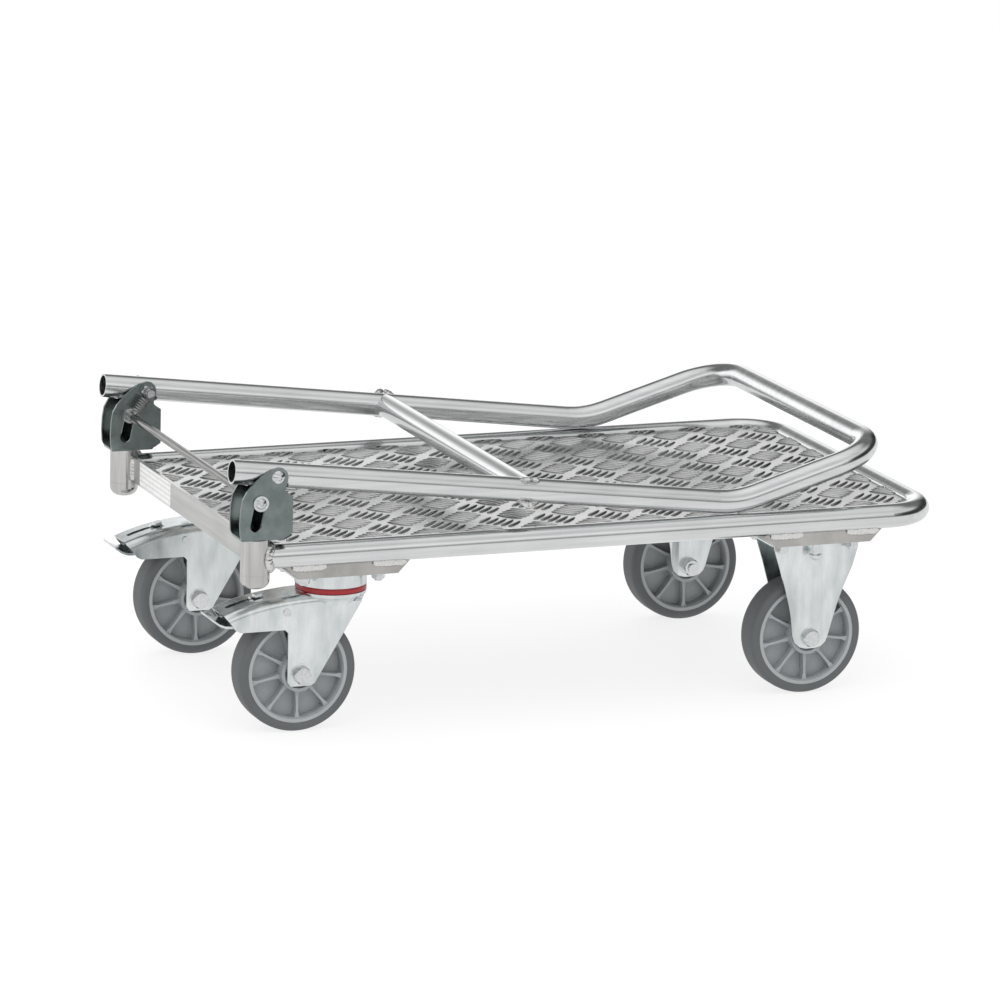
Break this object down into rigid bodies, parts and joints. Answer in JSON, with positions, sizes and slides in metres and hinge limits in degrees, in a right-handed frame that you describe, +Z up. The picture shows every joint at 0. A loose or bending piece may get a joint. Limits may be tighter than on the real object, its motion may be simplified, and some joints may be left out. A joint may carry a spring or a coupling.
{
  "type": "folding platform cart",
  "caption": "Tube-framed platform cart with a tread-plate deck, a bow handle that folds flat and locks upright on a sprung bar, braked swivel casters and fixed casters.",
  "frame": {"origin": "on the floor under the middle of the folded cart", "axes": "+X runs from the handle hinges to the fixed casters, +Y is the left side, +Z is up"},
  "size_m": [0.79, 0.4704, 0.2956],
  "materials": {
    "aluminium_sheet": "mill finish, raised five-bar tread on top",
    "aluminium_tube": "bright drawn tube, fine lengthwise grain",
    "bracket": "dull grey-green coated steel",
    "label": "blank white film",
    "post_cap": "turned and welded domed cap",
    "rim": "moulded grey plastic",
    "seal": "moulded red plastic",
    "spring_steel": "bright spring wire",
    "steel_bar": "turned bar",
    "tyre": "moulded grey rubber",
    "weld": "rippled weld bead",
    "zinc_fastener": "bright zinc plate, turned and hexagonal",
    "zinc_sheet": "bright zinc plate, pressed"
  },
  "bodies": {
    "frame": {"bracket_screws": "zinc_fastener", "caster_mount_fixed": "aluminium_sheet", "caster_mount_swivel": "aluminium_sheet", "corner_post_caps": "post_cap", "corner_posts": "aluminium_tube", "deck_bearers": "aluminium_sheet", "end_crossbar": "aluminium_sheet", "fixed_axle_bolts": "zinc_fastener", "fixed_axle_nuts": "zinc_fastener", "fixed_axle_sleeves": "zinc_fastener", "fixed_fork_left": "zinc_sheet", "fixed_fork_right": "zinc_sheet", "frame_welds": "weld", "hinge_bracket_left": "bracket", "hinge_bracket_right": "bracket", "king_pins": "zinc_fastener", "mount_studs": "zinc_fastener", "mounting_bolts": "zinc_fastener", "mounting_nuts": "zinc_fastener", "pivot_bolts": "zinc_fastener", "pivot_nuts": "zinc_fastener", "race_balls": "zinc_fastener", "rail_tube": "aluminium_tube", "rating_label": "label", "swivel_top_plate_left": "zinc_sheet", "swivel_top_plate_right": "zinc_sheet", "tread_plate": "aluminium_sheet"},
    "handle": {"handle_tube": "aluminium_tube", "handle_cross_brace": "aluminium_tube", "handle_welds": "weld", "handle_rivets": "zinc_fastener", "pivot_sleeves": "zinc_fastener"},
    "lock_bar": {"lock_bar": "steel_bar", "lock_bar_screws": "zinc_fastener", "lock_bar_sleeves": "zinc_fastener", "lock_bar_washers": "zinc_fastener", "lock_spring_left": "spring_steel", "lock_spring_right": "spring_steel"},
    "swivel_fork_left": {"swivel_fork_left": "zinc_sheet", "swivel_seal_ring_left": "seal", "pedal_pin_left": "zinc_fastener", "swivel_axle_bolt_left": "zinc_fastener", "swivel_axle_nut_left": "zinc_fastener", "swivel_axle_sleeve_left": "zinc_fastener"},
    "brake_pedal_left": {"brake_pedal_left": "zinc_sheet"},
    "swivel_wheel_left": {"swivel_tyre_left": "tyre", "swivel_rim_left": "rim"},
    "fixed_wheel_left": {"fixed_tyre_left": "tyre", "fixed_rim_left": "rim"},
    "swivel_fork_right": {"swivel_fork_right": "zinc_sheet", "swivel_seal_ring_right": "seal", "pedal_pin_right": "zinc_fastener", "swivel_axle_bolt_right": "zinc_fastener", "swivel_axle_nut_right": "zinc_fastener", "swivel_axle_sleeve_right": "zinc_fastener"},
    "brake_pedal_right": {"brake_pedal_right": "zinc_sheet"},
    "swivel_wheel_right": {"swivel_tyre_right": "tyre", "swivel_rim_right": "rim"},
    "fixed_wheel_right": {"fixed_tyre_right": "tyre", "fixed_rim_right": "rim"}
  },
  "joints": [
    {"name": "handle_hinge", "type": "hinge", "parent": "frame", "child": "handle", "pos_m": [-0.3445, 0, 0.278], "axis": [0, -1, 0], "range_deg": [0, 96.83], "deforming": ["lock_bar_sleeves", "lock_bar_screws"]},
    {"name": "lock_bar_slide", "type": "slide", "parent": "frame", "child": "lock_bar", "axis": [-0.2026, 0, -0.9793], "range_m": [0, 0.0236], "stiffness_N_per_m": 900, "springref_m": -0.008, "deforming": ["lock_spring_left", "lock_spring_right"]},
    {"name": "caster_swivel_left", "type": "hinge", "parent": "frame", "child": "swivel_fork_left", "pos_m": [-0.2635, 0.163, 0.15], "axis": [0, 0, 1], "continuous": true},
    {"name": "brake_pedal_hinge_left", "type": "hinge", "parent": "swivel_fork_left", "child": "brake_pedal_left", "pos_m": [-0.3185, 0.163, 0.128], "axis": [0, -1, 0], "range_deg": [0, 11]},
    {"name": "swivel_wheel_spin_left", "type": "hinge", "parent": "swivel_fork_left", "child": "swivel_wheel_left", "pos_m": [-0.3025, 0.163, 0.0625], "axis": [0, 1, 0], "continuous": true},
    {"name": "fixed_wheel_spin_left", "type": "hinge", "parent": "frame", "child": "fixed_wheel_left", "pos_m": [0.2595, 0.163, 0.0625], "axis": [0, 1, 0], "continuous": true},
    {"name": "caster_swivel_right", "type": "hinge", "parent": "frame", "child": "swivel_fork_right", "pos_m": [-0.2635, -0.163, 0.15], "axis": [0, 0, 1], "continuous": true},
    {"name": "brake_pedal_hinge_right", "type": "hinge", "parent": "swivel_fork_right", "child": "brake_pedal_right", "pos_m": [-0.3185, -0.163, 0.128], "axis": [0, -1, 0], "range_deg": [0, 11]},
    {"name": "swivel_wheel_spin_right", "type": "hinge", "parent": "swivel_fork_right", "child": "swivel_wheel_right", "pos_m": [-0.3025, -0.163, 0.0625], "axis": [0, 1, 0], "continuous": true},
    {"name": "fixed_wheel_spin_right", "type": "hinge", "parent": "frame", "child": "fixed_wheel_right", "pos_m": [0.2595, -0.163, 0.0625], "axis": [0, 1, 0], "continuous": true}
  ]
}
